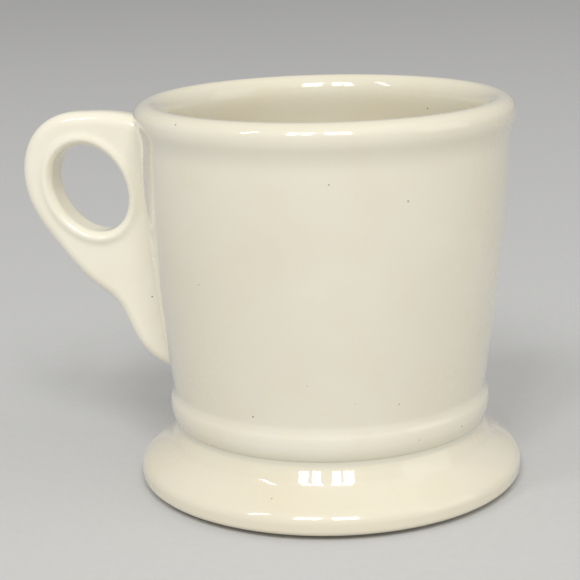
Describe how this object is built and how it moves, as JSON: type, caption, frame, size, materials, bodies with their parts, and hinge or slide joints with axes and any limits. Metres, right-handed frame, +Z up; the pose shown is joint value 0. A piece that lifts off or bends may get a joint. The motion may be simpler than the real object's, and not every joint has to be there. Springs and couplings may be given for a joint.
{
  "type": "shaving mug",
  "caption": "Glazed ceramic shaving mug with a rolled rim, a bead above a flared foot, and a flat ring handle with a finger hole and a long tail.",
  "frame": {"origin": "centre of the foot's dry ring, on the table, on the mug's axis", "axes": "+Z up along the mug's axis, -X towards the handle"},
  "size_m": [0.1258, 0.0954, 0.095],
  "materials": {
    "glazed_body": "glossy cream-white glaze over white clay",
    "glazed_foot": "glossy cream-white glaze, bare dry ring underneath",
    "glazed_handle": "glossy cream-white glaze, thinner on the edges",
    "joint_slip": "fired clay slip under pooled glaze"
  },
  "bodies": {
    "root": {"cup": "glazed_body", "foot": "glazed_foot", "foot_slip": "joint_slip", "handle": "glazed_handle", "handle_slip": "joint_slip"}
  },
  "joints": []
}
